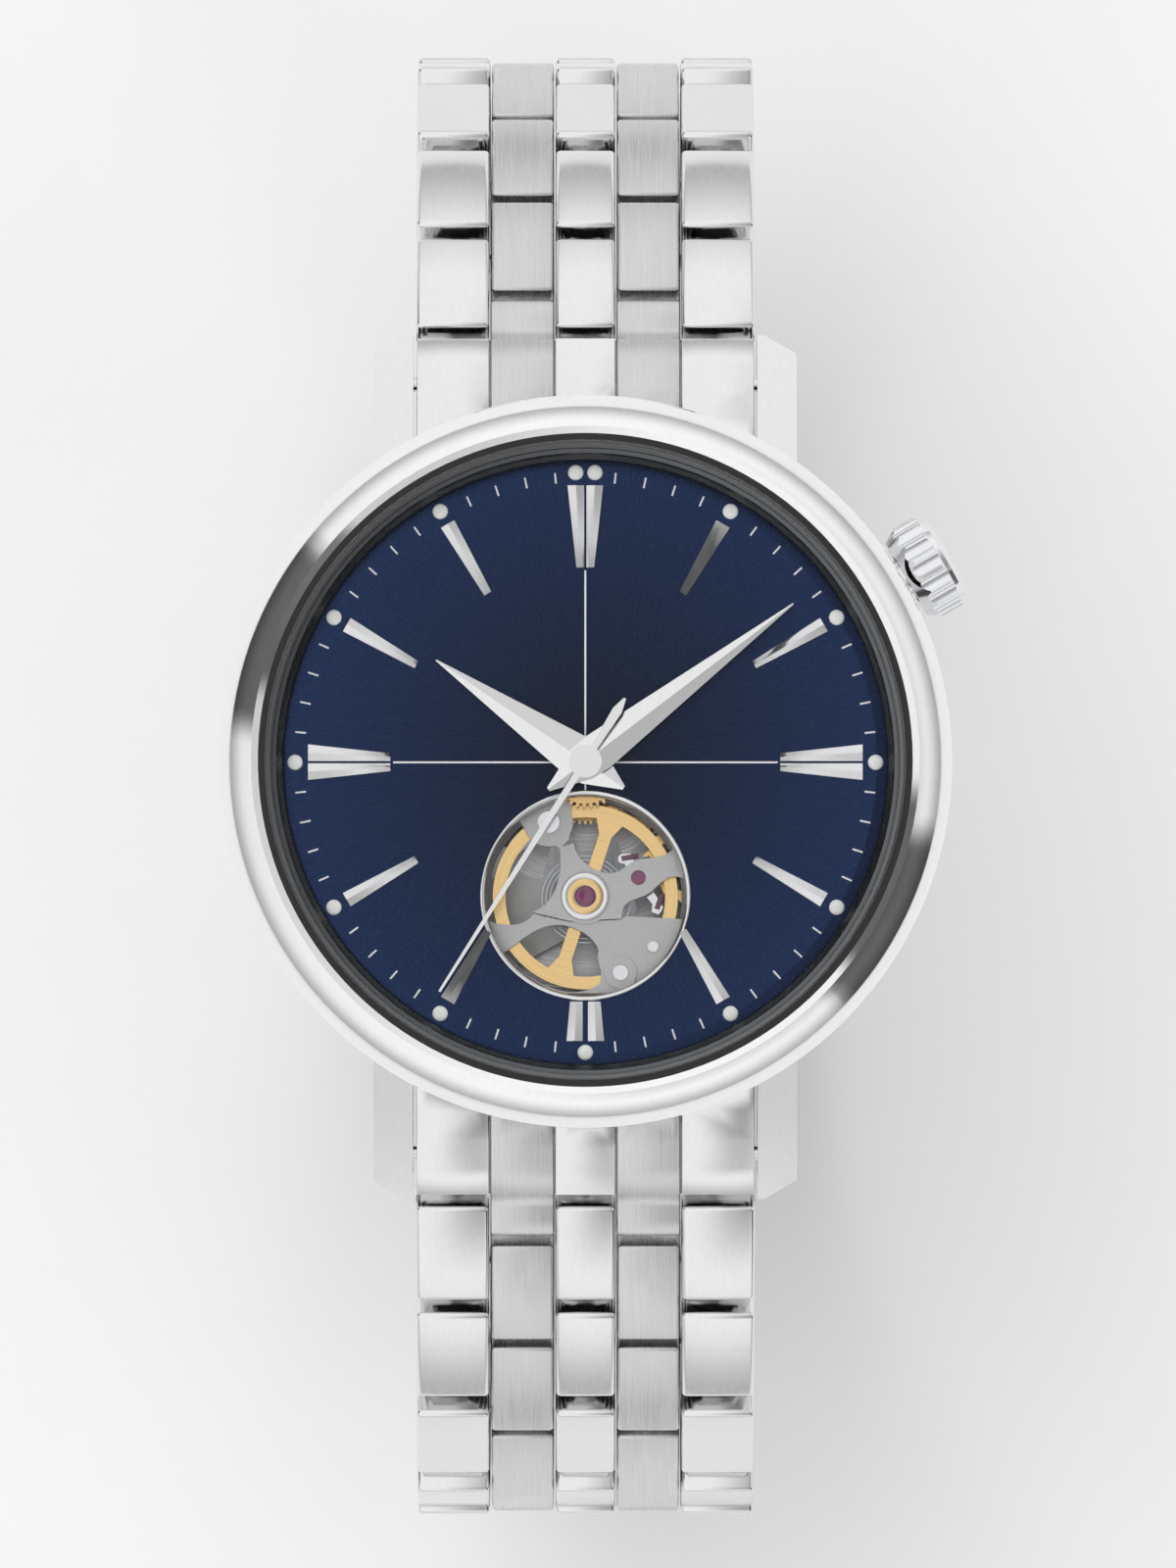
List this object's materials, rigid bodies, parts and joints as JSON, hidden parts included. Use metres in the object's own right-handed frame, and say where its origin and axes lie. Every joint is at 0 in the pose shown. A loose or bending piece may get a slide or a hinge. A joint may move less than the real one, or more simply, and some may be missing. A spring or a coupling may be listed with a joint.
{
  "type": "wristwatch",
  "caption": "Automatic wristwatch with a round steel case, a navy open-heart dial over the balance, and a jointed steel bracelet with a folding clasp.",
  "frame": {"origin": "centre of the flat outer face of the case back", "axes": "+Z leaves through the dial, +Y points to 12 o'clock, +X points to 3 o'clock; the bracelet hangs below the case as a closed loop round the wrist opening, which runs along X"},
  "size_m": [0.0417, 0.083, 0.0561],
  "materials": {
    "case_steel": "polished stainless steel",
    "crystal": "clear, flat",
    "gasket": "matte black",
    "chapter_ring": "dark gunmetal",
    "dial_blue": "sunburst lacquer, satin edge",
    "silver_trim": "faceted and polished",
    "movement_plate": "rhodium plated and sandblasted",
    "spacer": "moulded",
    "screw_steel": "polished",
    "ruby": "synthetic ruby, polished",
    "gilt_brass": "gilt, circular grained",
    "train_steel": "hardened and polished",
    "rotor_metal": "straight grained",
    "crown_steel": "polished flutes",
    "bracelet_steel": "polished and brushed columns",
    "clasp_steel": "brushed with polished edges"
  },
  "bodies": {
    "case": {"case_middle": "case_steel", "bezel": "case_steel", "crystal": "crystal", "case_gaskets": "gasket", "rehaut_ring": "chapter_ring", "dial": "dial_blue", "hour_indices": "silver_trim", "case_back": "case_steel", "case_back_glass": "crystal", "main_plate": "movement_plate", "movement_holder": "spacer", "heart_bridge": "movement_plate", "train_bridge": "movement_plate", "balance_cock": "movement_plate", "movement_screws": "screw_steel", "jewels": "ruby", "hairspring": "train_steel", "end_link_12": "bracelet_steel", "end_link_6": "bracelet_steel", "spring_bars": "case_steel"},
    "minute": {"minute_hand": "silver_trim", "centre_wheel": "gilt_brass"},
    "hour": {"hour_hand": "silver_trim", "hour_wheel": "gilt_brass"},
    "seconds": {"seconds_hand": "silver_trim"},
    "crown_slide": {"crown_gasket": "gasket"},
    "crown": {"crown": "crown_steel", "stem": "screw_steel"},
    "minute_wheel": {"minute_wheel": "gilt_brass"},
    "barrel": {"barrel": "gilt_brass"},
    "third_wheel": {"third_wheel": "gilt_brass"},
    "fourth_wheel": {"fourth_wheel": "gilt_brass"},
    "escape_wheel": {"escape_wheel": "gilt_brass"},
    "pallet_fork": {"pallet_fork": "train_steel"},
    "balance_wheel": {"balance_wheel": "gilt_brass"},
    "rotor": {"rotor": "rotor_metal"},
    "ratchet_wheel": {"ratchet_wheel": "train_steel"},
    "clasp_cover": {"clasp_cover": "clasp_steel"},
    "clasp_blade_long": {"clasp_blade_long": "clasp_steel"},
    "clasp_blade_short": {"clasp_blade_short": "clasp_steel"},
    "clasp_button_left": {"clasp_button_left": "clasp_steel"},
    "clasp_button_right": {"clasp_button_right": "clasp_steel"},
    "link_12_1": {"link_12_1": "bracelet_steel"},
    "link_12_2": {"link_12_2": "bracelet_steel"},
    "link_12_3": {"link_12_3": "bracelet_steel"},
    "link_12_4": {"link_12_4": "bracelet_steel"},
    "link_12_5": {"link_12_5": "bracelet_steel"},
    "link_12_6": {"link_12_6": "bracelet_steel"},
    "link_12_7": {"link_12_7": "bracelet_steel"},
    "link_12_8": {"link_12_8": "bracelet_steel"},
    "link_12_9": {"link_12_9": "bracelet_steel"},
    "link_6_1": {"link_6_1": "bracelet_steel"},
    "link_6_2": {"link_6_2": "bracelet_steel"},
    "link_6_3": {"link_6_3": "bracelet_steel"},
    "link_6_4": {"link_6_4": "bracelet_steel"},
    "link_6_5": {"link_6_5": "bracelet_steel"},
    "link_6_6": {"link_6_6": "bracelet_steel"},
    "link_6_7": {"link_6_7": "bracelet_steel"},
    "link_6_8": {"link_6_8": "bracelet_steel"},
    "link_6_9": {"link_6_9": "bracelet_steel"}
  },
  "joints": [
    {"name": "seconds_turn", "type": "hinge", "parent": "case", "child": "seconds", "pos_m": [0, 0, 0.0099], "axis": [0, 0, -1], "continuous": true},
    {"name": "minute_turn", "type": "hinge", "parent": "case", "child": "minute", "pos_m": [0, 0, 0.0095], "axis": [0, 0, -1], "continuous": true},
    {"name": "hour_turn", "type": "hinge", "parent": "case", "child": "hour", "pos_m": [0, 0, 0.0091], "axis": [0, 0, -1], "continuous": true},
    {"name": "minute_wheel_turn", "type": "hinge", "parent": "case", "child": "minute_wheel", "pos_m": [0.0015, 0.0026, 0.0078], "axis": [0, 0, -1], "continuous": true},
    {"name": "barrel_turn", "type": "hinge", "parent": "case", "child": "barrel", "pos_m": [-0.0052, 0.003, 0.004], "axis": [0, 0, -1], "continuous": true},
    {"name": "third_wheel_turn", "type": "hinge", "parent": "case", "child": "third_wheel", "pos_m": [0.00359, -0.00031, 0.0045], "axis": [0, 0, -1], "continuous": true},
    {"name": "fourth_wheel_turn", "type": "hinge", "parent": "case", "child": "fourth_wheel", "pos_m": [0.00671, -0.00211, 0.0045], "axis": [0, 0, -1], "continuous": true},
    {"name": "escape_wheel_turn", "type": "hinge", "parent": "case", "child": "escape_wheel", "pos_m": [0.00563, -0.00543, 0.005], "axis": [0, 0, -1], "continuous": true},
    {"name": "pallet_rock", "type": "hinge", "parent": "case", "child": "pallet_fork", "pos_m": [0.00297, -0.0064, 0.0058], "axis": [0, 0, -1], "range_deg": [-5, 5]},
    {"name": "balance_swing", "type": "hinge", "parent": "case", "child": "balance_wheel", "pos_m": [0, -0.00745, 0.0065], "axis": [0, 0, -1], "range_deg": [-270, 270], "stiffness_Nm_per_rad": 0.00000043},
    {"name": "rotor_turn", "type": "hinge", "parent": "case", "child": "rotor", "pos_m": [0, 0, 0.0018], "axis": [0, 0, -1], "continuous": true},
    {"name": "ratchet_turn", "type": "hinge", "parent": "case", "child": "ratchet_wheel", "pos_m": [-0.0052, 0.003, 0.0022], "axis": [0, 0, -1], "continuous": true},
    {"name": "crown_pull", "type": "slide", "parent": "case", "child": "crown_slide", "axis": [0.866, 0.5, 0], "range_m": [0, 0.0012]},
    {"name": "crown_turn", "type": "hinge", "parent": "crown_slide", "child": "crown", "pos_m": [0.01819, 0.0105, 0.0065], "axis": [0.866, 0.5, 0], "continuous": true},
    {"name": "link_12_1_hinge", "type": "hinge", "parent": "case", "child": "link_12_1", "pos_m": [0, 0.0249, 0.0024], "axis": [1, 0, 0], "range_deg": [0, 9.44]},
    {"name": "link_12_2_hinge", "type": "hinge", "parent": "link_12_1", "child": "link_12_2", "pos_m": [0, 0.03045, -0.00048], "axis": [1, 0, 0], "range_deg": [0, 11.17]},
    {"name": "link_12_3_hinge", "type": "hinge", "parent": "link_12_2", "child": "link_12_3", "pos_m": [0, 0.03533, -0.00438], "axis": [1, 0, 0], "range_deg": [0, 17.45]},
    {"name": "link_12_4_hinge", "type": "hinge", "parent": "link_12_3", "child": "link_12_4", "pos_m": [0, 0.03882, -0.00956], "axis": [1, 0, 0], "range_deg": [0, 26.61]},
    {"name": "link_12_5_hinge", "type": "hinge", "parent": "link_12_4", "child": "link_12_5", "pos_m": [0, 0.03962, -0.01576], "axis": [1, 0, 0], "range_deg": [0, 20.93]},
    {"name": "link_12_6_hinge", "type": "hinge", "parent": "link_12_5", "child": "link_12_6", "pos_m": [0, 0.03815, -0.02184], "axis": [1, 0, 0], "range_deg": [0, 15.74]},
    {"name": "link_12_7_hinge", "type": "hinge", "parent": "link_12_6", "child": "link_12_7", "pos_m": [0, 0.03509, -0.02729], "axis": [1, 0, 0], "range_deg": [0, 13.27]},
    {"name": "link_12_8_hinge", "type": "hinge", "parent": "link_12_7", "child": "link_12_8", "pos_m": [0, 0.03086, -0.03189], "axis": [1, 0, 0], "range_deg": [0, 10.96]},
    {"name": "link_12_9_hinge", "type": "hinge", "parent": "link_12_8", "child": "link_12_9", "pos_m": [0, 0.02583, -0.0356], "axis": [1, 0, 0], "range_deg": [0, 9.19]},
    {"name": "link_6_1_hinge", "type": "hinge", "parent": "case", "child": "link_6_1", "pos_m": [0, -0.0249, 0.0024], "axis": [-1, 0, 0], "range_deg": [0, 9.44]},
    {"name": "link_6_2_hinge", "type": "hinge", "parent": "link_6_1", "child": "link_6_2", "pos_m": [0, -0.03045, -0.00048], "axis": [-1, 0, 0], "range_deg": [0, 11.17]},
    {"name": "link_6_3_hinge", "type": "hinge", "parent": "link_6_2", "child": "link_6_3", "pos_m": [0, -0.03533, -0.00438], "axis": [-1, 0, 0], "range_deg": [0, 17.45]},
    {"name": "link_6_4_hinge", "type": "hinge", "parent": "link_6_3", "child": "link_6_4", "pos_m": [0, -0.03882, -0.00956], "axis": [-1, 0, 0], "range_deg": [0, 26.61]},
    {"name": "link_6_5_hinge", "type": "hinge", "parent": "link_6_4", "child": "link_6_5", "pos_m": [0, -0.03962, -0.01576], "axis": [-1, 0, 0], "range_deg": [0, 20.93]},
    {"name": "link_6_6_hinge", "type": "hinge", "parent": "link_6_5", "child": "link_6_6", "pos_m": [0, -0.03815, -0.02184], "axis": [-1, 0, 0], "range_deg": [0, 15.74]},
    {"name": "link_6_7_hinge", "type": "hinge", "parent": "link_6_6", "child": "link_6_7", "pos_m": [0, -0.03509, -0.02729], "axis": [-1, 0, 0], "range_deg": [0, 13.27]},
    {"name": "link_6_8_hinge", "type": "hinge", "parent": "link_6_7", "child": "link_6_8", "pos_m": [0, -0.03086, -0.03189], "axis": [-1, 0, 0], "range_deg": [0, 10.96]},
    {"name": "link_6_9_hinge", "type": "hinge", "parent": "link_6_8", "child": "link_6_9", "pos_m": [0, -0.02583, -0.0356], "axis": [-1, 0, 0], "range_deg": [0, 9.19]},
    {"name": "clasp_cover_hinge", "type": "hinge", "parent": "link_6_9", "child": "clasp_cover", "pos_m": [0, -0.02027, -0.03846], "axis": [-1, 0, 0], "range_deg": [0, 4.94]},
    {"name": "blade_long_hinge", "type": "hinge", "parent": "clasp_cover", "child": "clasp_blade_long", "pos_m": [0, 0.01677, -0.0387], "axis": [-1, 0, 0], "range_deg": [0, 72]},
    {"name": "blade_short_hinge", "type": "hinge", "parent": "clasp_blade_long", "child": "clasp_blade_short", "pos_m": [0, -0.01244, -0.03996], "axis": [1, 0, 0], "range_deg": [0, 100]},
    {"name": "button_left_press", "type": "slide", "parent": "clasp_cover", "child": "clasp_button_left", "axis": [1, 0, 0], "range_m": [0, 0.0007], "stiffness_N_per_m": 600},
    {"name": "button_right_press", "type": "slide", "parent": "clasp_cover", "child": "clasp_button_right", "axis": [-1, 0, 0], "range_m": [0, 0.0007], "stiffness_N_per_m": 600}
  ],
  "couplings": [
    {"joint": "minute_turn", "follows": "seconds_turn", "ratio": 0.016667},
    {"joint": "hour_turn", "follows": "seconds_turn", "ratio": 0.0013889},
    {"joint": "minute_wheel_turn", "follows": "seconds_turn", "ratio": -0.0055556},
    {"joint": "barrel_turn", "follows": "seconds_turn", "ratio": -0.0027778},
    {"joint": "third_wheel_turn", "follows": "seconds_turn", "ratio": -0.13333},
    {"joint": "fourth_wheel_turn", "follows": "seconds_turn", "ratio": 1},
    {"joint": "escape_wheel_turn", "follows": "seconds_turn", "ratio": -12}
  ]
}
